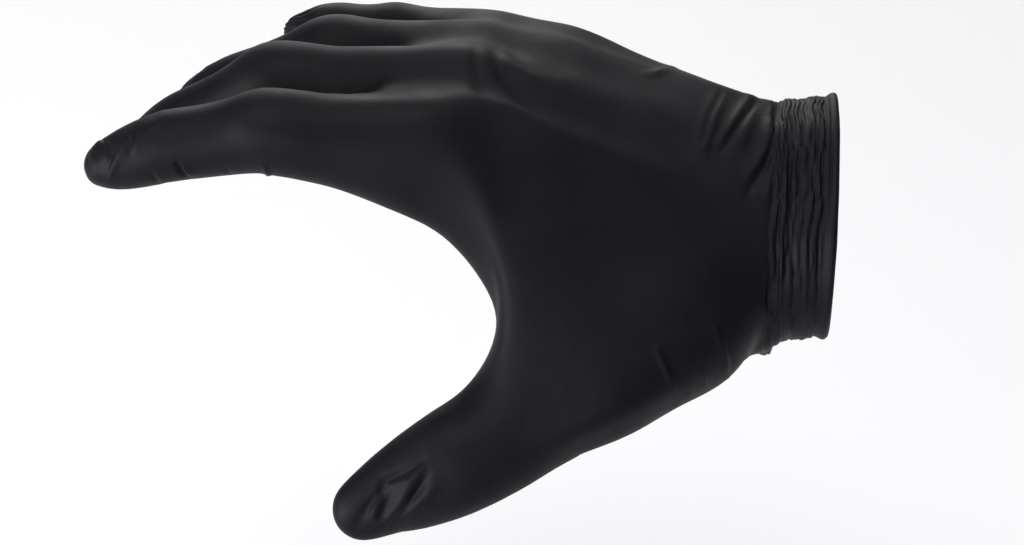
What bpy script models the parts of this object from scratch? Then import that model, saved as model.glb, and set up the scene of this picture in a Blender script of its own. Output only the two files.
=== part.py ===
"""A thin nitrile exam glove in the shape that a right hand gives it when it reaches round something wide.

The glove is one dipped film, so it is one solid: a hollow wall, open at the cuff, with four fingers
and a thumb. Frame, in metres: the origin is the middle of the cuff's mouth, +X runs out of the mouth
towards the forearm, +Z is the side of the hand's back and -Y is the thumb's side.
The form is a cage of quads, one ring of corners for each section, rounded by a Subdivision Surface.
"""

import math
from collections import namedtuple

import bpy
from mathutils import Matrix, Vector

# The film and the cuff
WALL = 0.001
CUFF_LENGTH = 0.016
CUFF_BREADTH = 0.067
CUFF_DEPTH = 0.051
CUFF_ROLL = math.radians(13)
GATHER_HEIGHT = 0.0011
GATHER_SWAY = 0.0006
SWAY_STEP = 0.9  # how far the sway turns from one ring to the next, in radians
PLEAT_DEPTH = 0.0006
HEEL_FLARE = 0.0036
HEEL_ANGLE = math.radians(-120)
BEAD_THICKNESS = 0.0022

# The palm, from the wrist to the knuckles
PALM_LENGTH = 0.080
PALM_BREADTH = 0.079
PALM_DEPTH = 0.029
WRIST_BEND = math.radians(21)
WRIST_DROP = 0.0025

# The fingers and the thumb, each measured from its knuckle to its tip
INDEX_LENGTH = 0.087
MIDDLE_LENGTH = 0.097
RING_LENGTH = 0.091
LITTLE_LENGTH = 0.069
INDEX_BREADTH = 0.0210
MIDDLE_BREADTH = 0.0212
RING_BREADTH = 0.0200
LITTLE_BREADTH = 0.0178
THUMB_METACARPAL = 0.046
THUMB_LENGTH = 0.069
THUMB_BREADTH = 0.0245

# Smoothing
SMOOTH_LEVELS = 1
SETTLING_ROUNDS = 12

FORWARD = Vector((-1, 0, 0))
LITTLE_SIDE = Vector((0, 1, 0))
BACK_OF_HAND = Vector((0, 0, 1))

# Each finger's knuckle is placed by shares of the palm's length, breadth and depth.
# The web is how far along its first bone the finger leaves the palm.
# Splay and bends are in degrees, the bends at the knuckle and at the two joints after it.
# The bones are shares of the finger's length.
Finger = namedtuple("Finger", "length breadth forward across up web splay bends bones")
FINGERS = (
    Finger(INDEX_LENGTH, INDEX_BREADTH, 0.99, -0.355, 0.00, 0.55, -3, (17.5, 15.5, 5), (0.485, 0.275, 0.24)),
    Finger(MIDDLE_LENGTH, MIDDLE_BREADTH, 1.00, -0.090, 0.07, 0.52, 8, (22, 29.5, 4), (0.475, 0.29, 0.235)),
    Finger(RING_LENGTH, RING_BREADTH, 0.965, 0.180, 0.05, 0.49, 16, (24, 22.5, 2), (0.445, 0.325, 0.23)),
    Finger(LITTLE_LENGTH, LITTLE_BREADTH, 0.915, 0.405, -0.04, 0.50, 30, (24, 4, 4), (0.475, 0.27, 0.255)),
)

# A finger's section sits on one of its bones. Its sizes are shares of the finger's breadth.
# Web is how far the corners that face the thumb's web are drawn out towards it.
Section = namedtuple("Section", "bone along breadth depth lift web")
FINGER_SECTIONS = (
    Section(0, 0.75, 0.98, 1.00, -0.05, 0.0),
    Section(0, 1.00, 1.00, 0.95, -0.02, 0.0),
    Section(1, 0.32, 0.89, 0.84, -0.01, 0.0),
    Section(1, 0.70, 0.84, 0.79, -0.01, 0.0),
    Section(1, 1.00, 0.85, 0.78, 0.00, 0.0),
    Section(2, 0.36, 0.80, 0.72, -0.01, 0.0),
    Section(2, 0.72, 0.66, 0.56, -0.03, 0.0),
    Section(2, 0.93, 0.43, 0.35, -0.03, 0.0),
)
THUMB_SECTIONS = (
    Section(1, 0.72, 0.98, 0.90, 0.00, 0.12),
    Section(1, 1.00, 1.00, 0.92, 0.00, 0.0),
    Section(2, 0.24, 0.94, 0.83, -0.01, 0.0),
    Section(2, 0.48, 0.83, 0.71, -0.05, 0.0),
    Section(2, 0.70, 0.69, 0.56, -0.07, 0.0),
    Section(2, 0.88, 0.53, 0.40, -0.07, 0.0),
    Section(2, 0.97, 0.29, 0.23, -0.06, 0.0),
)

# Swing turns a thumb bone from forward to the thumb's side, drop turns it down, both in degrees.
# Roll turns the nail up from the thumb's side.
ThumbBone = namedtuple("ThumbBone", "length swing drop roll")
THUMB_BONES = (
    ThumbBone(THUMB_METACARPAL, 34, 17, 34),
    ThumbBone(0.51 * THUMB_LENGTH, 23, 20, 34),
    ThumbBone(0.49 * THUMB_LENGTH, 26, 22, 34),
)
THUMB_ROOT = Vector((0.0, -0.36, -0.17))  # shares of the palm's length, the cuff's breadth and depth

# The knuckle rings run across all four fingers, from the knuckles to the webs. Along is a share of each
# finger's web, and the sizes are shares of each finger's breadth. The valleys are the corners that two
# neighbours share, as shares of the height of the ridges. Web is as in a finger's section, and only the
# index finger has it.
KnuckleRing = namedtuple("KnuckleRing", "along breadth depth lift web valley")
KNUCKLE_RINGS = (
    KnuckleRing(0.00, 1.08, 1.40, -0.14, 0.36, 0.92),
    KnuckleRing(0.50, 1.02, 1.22, -0.08, 0.19, 0.80),
    KnuckleRing(1.00, 0.98, 1.06, -0.05, 0.07, 0.66),
)
WEB_BULGE = 0.14  # how far the middle of a web stands forward of its two ends, in finger breadths

# The rings between the cuff and the knuckles: how far along the palm, then where the thumb's section is and
# its size in thumb breadths. Own is how far the thumb's side has turned from the wrist's section to the
# thumb's. The seam is where the thumb's side meets the palm's side, and the lifts stand it out, in thumb
# breadths. The rest swell the palm outwards, in shares of its depth. Back grows towards the little finger.
TrunkRing = namedtuple(
    "TrunkRing",
    "along bone thumb breadth depth own seam back_lift front_lift back thenar hollow heel",
)
TRUNK_RINGS = (
    TrunkRing(0.25, 0, 0.33, 1.36, 1.24, 0.60, 0.50, 0.06, 0.06, 0.02, 0.10, -0.04, 0.08),
    TrunkRing(0.50, 0, 0.70, 1.14, 1.12, 0.90, 0.50, 0.03, 0.06, 0.04, 0.14, -0.12, 0.10),
    TrunkRing(0.72, 0, 1.00, 1.06, 1.04, 1.00, 0.50, 0.00, 0.02, 0.09, 0.08, -0.14, 0.06),
    TrunkRing(0.88, 1, 0.42, 0.97, 0.92, 1.00, 0.50, 0.00, 0.00, 0.04, 0.02, -0.10, 0.02),
)
# The edge of the thumb's web, in shares of the gap from the palm's side to the thumb's side
WEB_EDGE_SEAM = 0.55
WEB_EDGE_FORWARD = 0.06
# How much of the web's draw each corner next to the edge takes: back, edge, front and the one after it
WEB_DRAW = (0.5, 1.0, 0.9, 0.35)

# Around a section, in degrees from the little finger's side towards the back of the hand
CUFF_BACK_ANGLES = (149, 22)
CUFF_FRONT_ANGLES = (-22, -124)
FINGER_ANGLES = (135, 90, 45, 0, -45, -90, -135, -180)
THUMB_ANGLES = (-45, -90, -135, -180, -225, -270, -315, -360)
BACK_CORNERS = 9
THUMB_CORNERS = 5

# The cuff's rings from its mouth to the wrist: shares of the cuff's length, of the gathers' height, of the
# pleats' depth, of the flare over the thumb's heel and of the bead
CuffRing = namedtuple("CuffRing", "along swell pleat flare bead")
CUFF_RINGS = (
    CuffRing(0.00, 0.0, 0.0, 0.0, 1.0),
    CuffRing(0.10, 0.8, 0.0, 0.0, 1.0),
    CuffRing(0.21, 0.0, 0.0, 0.0, 0.0),
    CuffRing(0.36, 1.0, 0.3, 0.0, 0.0),
    CuffRing(0.52, -0.5, -0.5, 0.0, 0.0),
    CuffRing(0.68, 1.0, 0.5, 0.1, 0.0),
    CuffRing(0.84, -0.4, -0.7, 0.5, 0.0),
    CuffRing(1.00, 0.2, 1.0, 1.0, 0.0),
)


class Cage:
    """Quads joined ring by ring, with the point that each corner's smoothed surface has to pass through.

    A loose corner is not moved to reach its point. Where a ring splits, that would draw out a spike."""

    def __init__(self):
        self.points = []
        self.faces = []
        self.bead = []
        self.loose = set()

    def corner(self, point, bead=0.0):
        self.points.append(Vector(point))
        self.bead.append(bead)
        return len(self.points) - 1

    def ring(self, points, bead=0.0):
        return [self.corner(point, bead) for point in points]

    def bridge(self, near, far):
        count = len(near)
        for i in range(count):
            j = (i + 1) % count
            self.faces.append((near[i], near[j], far[j], far[i]))

    def cap(self, ring, point):
        """Close a ring of eight with four quads that meet at one corner."""
        centre = self.corner(point)
        for i in range(0, len(ring), 2):
            before = ring[i - 1]
            after = ring[(i + 1) % len(ring)]
            self.faces.append((before, ring[i], after, centre))


def between(a, b, share):
    return a + (b - a) * share


def spread(first, last, count):
    return [between(first, last, i / (count - 1)) for i in range(count)]


def section(centre, right, up, half_breadth, half_depth, angles):
    """Corners round one section, at angles in degrees from right towards up."""
    corners = []
    for angle in angles:
        turn = math.radians(angle)
        corners.append(centre + right * half_breadth * math.cos(turn) + up * half_depth * math.sin(turn))
    return corners


def palm_axes():
    """Forward along the palm and up through the back of the hand."""
    bend = Matrix.Rotation(WRIST_BEND, 3, "Y")
    return bend @ FORWARD, bend @ BACK_OF_HAND


def wrist_centre():
    return FORWARD * CUFF_LENGTH - BACK_OF_HAND * WRIST_DROP


def finger_bones(finger):
    """A finger's joints from knuckle to tip, each bone's forward and up directions, and the sideways one."""
    forward, up = palm_axes()
    knuckle = (
        FORWARD * CUFF_LENGTH
        + forward * finger.forward * PALM_LENGTH
        + LITTLE_SIDE * finger.across * PALM_BREADTH
        + up * finger.up * PALM_DEPTH
    )
    splay = Matrix.Rotation(math.radians(-finger.splay), 3, up)
    sideways = splay @ LITTLE_SIDE
    joints = [knuckle]
    axes = []
    bend = 0
    for degrees, share in zip(finger.bends, finger.bones):
        bend += degrees
        turn = Matrix.Rotation(math.radians(-bend), 3, sideways)
        axes.append((turn @ splay @ forward, turn @ up))
        joints.append(joints[-1] + axes[-1][0] * share * finger.length)
    return joints, axes, sideways


def thumb_bones():
    """The thumb's joints from wrist to tip, and each bone's forward, nail and inner directions."""
    forward, up = palm_axes()
    root = (
        FORWARD * CUFF_LENGTH
        + forward * THUMB_ROOT.x * PALM_LENGTH
        + LITTLE_SIDE * THUMB_ROOT.y * CUFF_BREADTH
        + BACK_OF_HAND * THUMB_ROOT.z * CUFF_DEPTH
    )
    joints = [root]
    axes = []
    for bone in THUMB_BONES:
        swing = math.radians(bone.swing)
        drop = math.radians(bone.drop)
        roll = math.radians(bone.roll)
        level = (FORWARD * math.cos(swing) - LITTLE_SIDE * math.sin(swing)).normalized()
        along = level * math.cos(drop) - BACK_OF_HAND * math.sin(drop)
        inward = BACK_OF_HAND.cross(level) * -1
        above = inward.cross(along)
        nail = above * math.sin(roll) - inward * math.cos(roll)
        axes.append((along, nail, along.cross(nail)))
        joints.append(joints[-1] + along * bone.length)
    return joints, axes


def joint_blend(axes, bone, along, which):
    """A bone's direction, averaged with the next bone's at the joint between them."""
    here = axes[bone][which]
    if along < 1 or bone + 1 == len(axes):
        return here
    return (here + axes[bone + 1][which]).normalized()


def drawn(loop, corners, pull):
    """The loop with the four corners beside the thumb's web pulled towards it."""
    loop = list(loop)
    for corner, share in zip(corners, WEB_DRAW):
        loop[corner] = loop[corner] + pull * share
    return loop


def finger_ring(finger, bones, row):
    joints, axes, sideways = bones
    up = joint_blend(axes, row.bone, row.along, 1)
    centre = between(joints[row.bone], joints[row.bone + 1], row.along) + up * row.lift * finger.breadth
    half_breadth = row.breadth * finger.breadth / 2
    half_depth = row.depth * finger.breadth / 2
    loop = section(centre, sideways, up, half_breadth, half_depth, FINGER_ANGLES)
    return drawn(loop, (0, 7, 6, 5), -up * row.web * finger.breadth)


def thumb_ring(bones, row):
    joints, axes = bones
    nail = joint_blend(axes, row.bone, row.along, 1)
    inner = joint_blend(axes, row.bone, row.along, 2)
    centre = between(joints[row.bone], joints[row.bone + 1], row.along) + nail * row.lift * THUMB_BREADTH
    half_breadth = row.breadth * THUMB_BREADTH / 2
    half_depth = row.depth * THUMB_BREADTH / 2
    loop = section(centre, inner, nail, half_breadth, half_depth, THUMB_ANGLES)
    return drawn(loop, (6, 7, 0, 1), inner * row.web * THUMB_BREADTH)


def knuckle_ring(skeletons, row):
    """One ring across the four fingers: back corners, little side, front corners, index side, and the webs."""
    loops = []
    for i, (finger, bones) in enumerate(zip(FINGERS, skeletons)):
        web = 0.0 if i else row.web
        spot = Section(0, row.along * finger.web, row.breadth, row.depth, row.lift, web)
        loops.append(finger_ring(finger, bones, spot))
    forward, up = palm_axes()
    back = [loops[0][0]]
    front = [loops[0][6]]
    webs = []
    for i, loop in enumerate(loops):
        back.append(loop[1])
        front.append(loop[5])
        if i + 1 == len(loops):
            back.append(loop[2])
            front.append(loop[4])
            continue
        other = loops[i + 1]
        middle = (loop[3] + other[7]) / 2
        ridge = (loop[1] + other[1]) / 2
        floor = (loop[5] + other[5]) / 2
        back.append(between(middle, ridge, row.valley))
        front.append(between(middle, floor, row.valley))
        bulge = WEB_BULGE * (FINGERS[i].breadth + FINGERS[i + 1].breadth) / 2
        webs.append(middle + forward * bulge)
    return back, loops[-1][3], front, loops[0][7], webs


def cuff_angles():
    """The angles of the whole ring: back of the hand, little side, front of the hand, thumb side."""
    back = spread(*CUFF_BACK_ANGLES, BACK_CORNERS)
    front = spread(*CUFF_FRONT_ANGLES, BACK_CORNERS)
    thumb = spread(front[-1], back[0] - 360, THUMB_CORNERS + 2)[1:-1]
    return back + [0] + front + thumb


def cuff_ring(row, turn):
    """One ring of the cuff.

    The gathers sway to and fro along the arm, and the pleats stand every other corner out.
    """
    right = LITTLE_SIDE * math.cos(CUFF_ROLL) + BACK_OF_HAND * math.sin(CUFF_ROLL)
    up = BACK_OF_HAND * math.cos(CUFF_ROLL) - LITTLE_SIDE * math.sin(CUFF_ROLL)
    centre = between(Vector(), wrist_centre(), row.along)
    sway = GATHER_SWAY * (1 - row.bead)
    loop = []
    for i, angle in enumerate(cuff_angles()):
        turned = math.radians(angle)
        swell = GATHER_HEIGHT * row.swell + PLEAT_DEPTH * row.pleat * (-1) ** i
        swell += HEEL_FLARE * row.flare * max(0, math.cos(turned - HEEL_ANGLE)) ** 2
        across = right * (CUFF_BREADTH / 2 + swell) * math.cos(turned)
        above = up * (CUFF_DEPTH / 2 + swell) * math.sin(turned)
        along = FORWARD * sway * math.sin(2 * turned + SWAY_STEP * turn)
        loop.append(centre + across + above + along)
    return loop


def pad_swell(column, row):
    """How far the front of the palm stands out at a column, from the thumb's pad to the heel."""
    share = column / (BACK_CORNERS - 1)
    if share < 0.5:
        return between(row.thenar, row.hollow, share / 0.5)
    return between(row.hollow, row.heel, (share - 0.5) / 0.5)


def trunk_ring(wrist, knuckles, thumb, row):
    """One ring from the wrist towards the knuckles, and the edge of the thumb's web at its place."""
    forward, up = palm_axes()
    back, little_side, front, index_side, webs = knuckles
    corners = BACK_CORNERS
    wrist_back = wrist[:corners]
    wrist_front = wrist[corners + 1:2 * corners + 1]
    ring_back = [between(a, b, row.along) for a, b in zip(wrist_back, back)]
    ring_little = between(wrist[corners], little_side, row.along)
    ring_front = [between(a, b, row.along) for a, b in zip(wrist_front, reversed(front))]
    for i in range(corners):
        ring_back[i] += up * PALM_DEPTH * row.back * i / (corners - 1)
        ring_front[i] -= up * PALM_DEPTH * pad_swell(corners - 1 - i, row)
    side = between((wrist_back[0] + wrist_front[-1]) / 2, index_side, row.along)

    spot = Section(row.bone, row.thumb, row.breadth, row.depth, 0.0, 0.0)
    loop = thumb_ring(thumb, spot)
    joints = thumb[0]
    travel = between(joints[row.bone], joints[row.bone + 1], row.thumb) - joints[0]
    thumb_side = [between(a + travel, b, row.own) for a, b in zip(wrist[2 * corners + 1:], loop[1:6])]
    across = loop[7] - side
    nail = joint_blend(thumb[1], row.bone, row.thumb, 1)
    ring_back[0] = between(ring_back[0], loop[6], row.seam) + nail * row.back_lift * THUMB_BREADTH
    ring_front[-1] = between(ring_front[-1], loop[0], row.seam) - nail * row.front_lift * THUMB_BREADTH
    edge = side + across * WEB_EDGE_SEAM + forward * across.length * WEB_EDGE_FORWARD
    return ring_back + [ring_little] + ring_front + thumb_side, edge


def glove_cage():
    cage = Cage()
    rings = []
    for turn, row in enumerate(CUFF_RINGS):
        rings.append(cage.ring(cuff_ring(row, turn), row.bead))
    wrist = cuff_ring(CUFF_RINGS[-1], len(CUFF_RINGS) - 1)

    skeletons = [finger_bones(finger) for finger in FINGERS]
    thumb = thumb_bones()
    knuckles = knuckle_ring(skeletons, KNUCKLE_RINGS[0])
    for row in TRUNK_RINGS:
        points, edge = trunk_ring(wrist, knuckles, thumb, row)
        rings.append(cage.ring(points))
    for near, far in zip(rings, rings[1:]):
        cage.bridge(near, far)

    # The last of those rings splits at the web's edge into the palm's ring and the thumb's ring.
    edge = cage.corner(edge)
    split = rings[-1]
    palm = split[:2 * BACK_CORNERS + 1] + [edge]
    thumb_loop = split[2 * BACK_CORNERS:] + [split[0], edge]
    cage.loose.update((split[0], split[2 * BACK_CORNERS]))

    for row in THUMB_SECTIONS:
        far = cage.ring(thumb_ring(thumb, row))
        cage.bridge(thumb_loop, far)
        thumb_loop = far
    cage.cap(thumb_loop, thumb[0][-1] + thumb[1][-1][1] * THUMB_SECTIONS[-1].lift * THUMB_BREADTH)

    for row in KNUCKLE_RINGS:
        back, little_side, front, index_side, web_points = knuckle_ring(skeletons, row)
        far = cage.ring(back + [little_side] + front[::-1] + [index_side])
        cage.bridge(palm, far)
        palm = far
    webs = cage.ring(web_points)
    cage.loose.update(webs)

    # The ring at the webs splits into the four fingers' rings.
    back = palm[:BACK_CORNERS]
    little_side = palm[BACK_CORNERS]
    front = palm[BACK_CORNERS + 1:2 * BACK_CORNERS + 1][::-1]
    sides = [palm[-1]] + webs + [little_side]
    for i, (finger, bones) in enumerate(zip(FINGERS, skeletons)):
        first = 2 * i
        loop = back[first:first + 3] + [sides[i + 1]] + front[first:first + 3][::-1] + [sides[i]]
        for row in FINGER_SECTIONS:
            far = cage.ring(finger_ring(finger, bones, row))
            cage.bridge(loop, far)
            loop = far
        tip = bones[0][-1] + bones[1][-1][1] * FINGER_SECTIONS[-1].lift * finger.breadth
        cage.cap(loop, tip)
    return cage, len(rings[0])


def settle(cage, mouth):
    """Move the corners until the smoothed surface passes through the points that they were given."""
    beside = [set() for point in cage.points]
    across = [[] for point in cage.points]
    for face in cage.faces:
        for i in range(4):
            beside[face[i]].update((face[i - 1], face[(i + 1) % 4]))
            across[face[i]].append(face[(i + 2) % 4])
    points = [point.copy() for point in cage.points]
    for turn in range(SETTLING_ROUNDS):
        moved = []
        for i, point in enumerate(points):
            if i < mouth:
                edge = points[(i + 1) % mouth] + points[(i - 1) % mouth]
                smooth = (point * 4 + edge) / 6
            else:
                count = len(beside[i])
                smooth = point * count * count
                for j in beside[i]:
                    smooth += points[j] * 4
                for j in across[i]:
                    smooth += points[j]
                smooth /= count * (count + 5)
            moved.append(point if i in cage.loose else point + cage.points[i] - smooth)
        points = moved
    return points


def film_material():
    material = bpy.data.materials.new("Black nitrile film")
    material.use_nodes = True
    shader = material.node_tree.nodes["Principled BSDF"]
    shader.inputs["Base Color"].default_value = (0.012, 0.012, 0.013, 1)
    shader.inputs["Roughness"].default_value = 0.48
    shader.inputs["IOR"].default_value = 1.5
    return material


def build_glove(collection):
    cage, mouth = glove_cage()
    mesh = bpy.data.meshes.new("glove")
    mesh.from_pydata([tuple(point) for point in settle(cage, mouth)], [], cage.faces)
    mesh.update()
    glove = bpy.data.objects.new("glove", mesh)
    collection.objects.link(glove)
    mesh.materials.append(film_material())
    mesh.shade_smooth()

    thickness = glove.vertex_groups.new(name="film thickness")
    for i, bead in enumerate(cage.bead):
        thickness.add([i], between(WALL / BEAD_THICKNESS, 1.0, bead), "REPLACE")

    smooth = glove.modifiers.new("Round the form", "SUBSURF")
    smooth.levels = SMOOTH_LEVELS
    smooth.render_levels = SMOOTH_LEVELS
    wall = glove.modifiers.new("Hollow film", "SOLIDIFY")
    wall.thickness = BEAD_THICKNESS
    wall.offset = -1
    wall.use_even_offset = True
    wall.vertex_group = thickness.name
    return glove


def main():
    for old in list(bpy.data.objects):
        bpy.data.objects.remove(old, do_unlink=True)
    collection = bpy.data.collections.new("Nitrile exam glove")
    bpy.context.scene.collection.children.link(collection)
    build_glove(collection)


main()
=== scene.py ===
"""The looks of a worn nitrile exam glove: one black film with its bead, gathers and folds, in a plain studio.

The film is built from the same rings of sections as the solid that it stands in for, smoothed further, and
its folds are raised afterwards. Units are metres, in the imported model's frame: the origin is the middle of
the cuff's mouth, +X runs out of the mouth, +Z is the side of the hand's back and -Y is the thumb's side.
"""

import math
from collections import namedtuple

import bpy
import numpy as np
from mathutils import Matrix, Vector, noise
from mathutils.bvhtree import BVHTree


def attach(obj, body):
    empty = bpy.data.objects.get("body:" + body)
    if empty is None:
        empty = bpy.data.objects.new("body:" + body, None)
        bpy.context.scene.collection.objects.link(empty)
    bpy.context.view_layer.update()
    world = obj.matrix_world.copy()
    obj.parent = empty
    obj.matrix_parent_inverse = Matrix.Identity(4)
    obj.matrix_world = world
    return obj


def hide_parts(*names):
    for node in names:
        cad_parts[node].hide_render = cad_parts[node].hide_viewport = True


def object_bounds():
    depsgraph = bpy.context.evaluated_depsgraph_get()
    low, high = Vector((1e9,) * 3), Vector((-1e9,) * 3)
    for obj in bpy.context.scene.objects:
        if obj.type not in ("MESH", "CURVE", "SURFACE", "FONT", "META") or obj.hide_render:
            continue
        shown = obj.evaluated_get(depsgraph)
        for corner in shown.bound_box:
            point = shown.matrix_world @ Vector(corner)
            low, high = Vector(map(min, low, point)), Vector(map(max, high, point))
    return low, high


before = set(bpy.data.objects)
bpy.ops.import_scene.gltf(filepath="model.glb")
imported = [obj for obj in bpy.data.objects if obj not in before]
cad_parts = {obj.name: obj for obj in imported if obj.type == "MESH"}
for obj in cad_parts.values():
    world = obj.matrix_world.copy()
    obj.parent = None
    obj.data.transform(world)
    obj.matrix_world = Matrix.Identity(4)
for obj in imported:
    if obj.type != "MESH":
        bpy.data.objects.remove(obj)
solid_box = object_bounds()

# The photograph's camera: where it stands, as seen from the cuff's mouth, and the mouth's pixel
PHOTO_WIDTH = 1024
PHOTO_HEIGHT = 545
MOUTH_PIXEL = Vector((832, 214))
FOCAL_PIXELS = 2236
CAMERA_DISTANCE = 0.545
CAMERA_AZIMUTH = math.radians(6)
CAMERA_ELEVATION = math.radians(30)
SENSOR_WIDTH = 36

# The film is smoothed, parted into patches and smoothed again. Each patch keeps only the points that it needs
# for its folds to come out right to within the tolerance.
PATCH_ROUNDS = 2
FINE_ROUNDS = 3
FOLD_TOLERANCE = 0.00007

# The bead
BEAD_RADIUS = 0.0012
BEAD_STAND = -0.0003  # how far the bead's middle stands out from the cuff's own outline
BEAD_TURNS = (-140, -70, 0, 70, 140)  # round the bead, in degrees from the mouth outwards

# The cuff
CUFF_LENGTH = 0.016
CUFF_BREADTH = 0.067
CUFF_DEPTH = 0.051
CUFF_ROLL = math.radians(13)
GATHER_HEIGHT = 0.0011
GATHER_SWAY = 0.0006
SWAY_STEP = 0.9  # how far the sway turns from one ring to the next, in radians
PLEAT_DEPTH = 0.0006
HEEL_FLARE = 0.0036
HEEL_ANGLE = math.radians(-120)

# The palm, from the wrist to the knuckles
PALM_LENGTH = 0.080
PALM_BREADTH = 0.079
PALM_DEPTH = 0.029
WRIST_BEND = math.radians(21)
WRIST_DROP = 0.0025

# The fingers and the thumb, each measured from its knuckle to its tip
INDEX_LENGTH = 0.087
MIDDLE_LENGTH = 0.097
RING_LENGTH = 0.091
LITTLE_LENGTH = 0.069
INDEX_BREADTH = 0.0210
MIDDLE_BREADTH = 0.0212
RING_BREADTH = 0.0200
LITTLE_BREADTH = 0.0178
THUMB_METACARPAL = 0.046
THUMB_LENGTH = 0.069
THUMB_BREADTH = 0.0245

SETTLING_ROUNDS = 12  # of moving the corners until the smoothed film passes through its sections

FORWARD = Vector((-1, 0, 0))
LITTLE_SIDE = Vector((0, 1, 0))
BACK_OF_HAND = Vector((0, 0, 1))

# Each finger's knuckle is placed by shares of the palm's length, breadth and depth.
# The web is how far along its first bone the finger leaves the palm.
# Splay and bends are in degrees, the bends at the knuckle and at the two joints after it.
# The bones are shares of the finger's length.
Finger = namedtuple("Finger", "length breadth forward across up web splay bends bones")
FINGERS = (
    Finger(INDEX_LENGTH, INDEX_BREADTH, 0.99, -0.355, 0.00, 0.55, -3, (17.5, 15.5, 5), (0.485, 0.275, 0.24)),
    Finger(MIDDLE_LENGTH, MIDDLE_BREADTH, 1.00, -0.090, 0.07, 0.52, 8, (22, 29.5, 4), (0.475, 0.29, 0.235)),
    Finger(RING_LENGTH, RING_BREADTH, 0.965, 0.180, 0.05, 0.49, 16, (24, 22.5, 2), (0.445, 0.325, 0.23)),
    Finger(LITTLE_LENGTH, LITTLE_BREADTH, 0.915, 0.405, -0.04, 0.50, 30, (24, 4, 4), (0.475, 0.27, 0.255)),
)

# A finger's section sits on one of its bones. Its sizes are shares of the finger's breadth.
# Web is how far the corners that face the thumb's web are drawn out towards it.
Section = namedtuple("Section", "bone along breadth depth lift web")
FINGER_SECTIONS = (
    Section(0, 0.75, 0.98, 1.00, -0.05, 0.0),
    Section(0, 1.00, 1.00, 0.95, -0.02, 0.0),
    Section(1, 0.32, 0.89, 0.84, -0.01, 0.0),
    Section(1, 0.70, 0.84, 0.79, -0.01, 0.0),
    Section(1, 1.00, 0.85, 0.78, 0.00, 0.0),
    Section(2, 0.36, 0.80, 0.72, -0.01, 0.0),
    Section(2, 0.72, 0.66, 0.56, -0.03, 0.0),
    Section(2, 0.93, 0.43, 0.35, -0.03, 0.0),
)
THUMB_SECTIONS = (
    Section(1, 0.72, 0.98, 0.90, 0.00, 0.12),
    Section(1, 1.00, 1.00, 0.92, 0.00, 0.0),
    Section(2, 0.24, 0.94, 0.83, -0.01, 0.0),
    Section(2, 0.48, 0.83, 0.71, -0.05, 0.0),
    Section(2, 0.70, 0.69, 0.56, -0.07, 0.0),
    Section(2, 0.88, 0.53, 0.40, -0.07, 0.0),
    Section(2, 0.97, 0.29, 0.23, -0.06, 0.0),
)

# Swing turns a thumb bone from forward to the thumb's side, drop turns it down, both in degrees.
# Roll turns the nail up from the thumb's side.
ThumbBone = namedtuple("ThumbBone", "length swing drop roll")
THUMB_BONES = (
    ThumbBone(THUMB_METACARPAL, 34, 17, 34),
    ThumbBone(0.51 * THUMB_LENGTH, 23, 20, 34),
    ThumbBone(0.49 * THUMB_LENGTH, 26, 22, 34),
)
THUMB_ROOT = Vector((0.0, -0.36, -0.17))  # shares of the palm's length, the cuff's breadth and depth

# The knuckle rings run across all four fingers, from the knuckles to the webs. Along is a share of each
# finger's web, and the sizes are shares of each finger's breadth. The valleys are the corners that two
# neighbours share, as shares of the height of the ridges. Web is as in a finger's section, and only the
# index finger has it.
KnuckleRing = namedtuple("KnuckleRing", "along breadth depth lift web valley")
KNUCKLE_RINGS = (
    KnuckleRing(0.00, 1.08, 1.40, -0.14, 0.36, 0.92),
    KnuckleRing(0.50, 1.02, 1.22, -0.08, 0.19, 0.80),
    KnuckleRing(1.00, 0.98, 1.06, -0.05, 0.07, 0.66),
)
WEB_BULGE = 0.14  # how far the middle of a web stands forward of its two ends, in finger breadths

# The rings between the cuff and the knuckles: how far along the palm, then where the thumb's section is and
# its size in thumb breadths. Own is how far the thumb's side has turned from the wrist's section to the
# thumb's. The seam is where the thumb's side meets the palm's side, and the lifts stand it out, in thumb
# breadths. The rest swell the palm outwards, in shares of its depth. Back grows towards the little finger.
TrunkRing = namedtuple(
    "TrunkRing",
    "along bone thumb breadth depth own seam back_lift front_lift back thenar hollow heel",
)
TRUNK_RINGS = (
    TrunkRing(0.25, 0, 0.33, 1.36, 1.24, 0.60, 0.50, 0.06, 0.06, 0.02, 0.10, -0.04, 0.08),
    TrunkRing(0.50, 0, 0.70, 1.14, 1.12, 0.90, 0.50, 0.03, 0.06, 0.04, 0.14, -0.12, 0.10),
    TrunkRing(0.72, 0, 1.00, 1.06, 1.04, 1.00, 0.50, 0.00, 0.02, 0.09, 0.08, -0.14, 0.06),
    TrunkRing(0.88, 1, 0.42, 0.97, 0.92, 1.00, 0.50, 0.00, 0.00, 0.04, 0.02, -0.10, 0.02),
)
# The edge of the thumb's web, in shares of the gap from the palm's side to the thumb's side
WEB_EDGE_SEAM = 0.55
WEB_EDGE_FORWARD = 0.06
# How much of the web's draw each corner next to the edge takes: back, edge, front and the one after it
WEB_DRAW = (0.5, 1.0, 0.9, 0.35)

# Around a section, in degrees from the little finger's side towards the back of the hand
CUFF_BACK_ANGLES = (149, 22)
CUFF_FRONT_ANGLES = (-22, -124)
FINGER_ANGLES = (135, 90, 45, 0, -45, -90, -135, -180)
THUMB_ANGLES = (-45, -90, -135, -180, -225, -270, -315, -360)
BACK_CORNERS = 9
THUMB_CORNERS = 5

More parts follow.
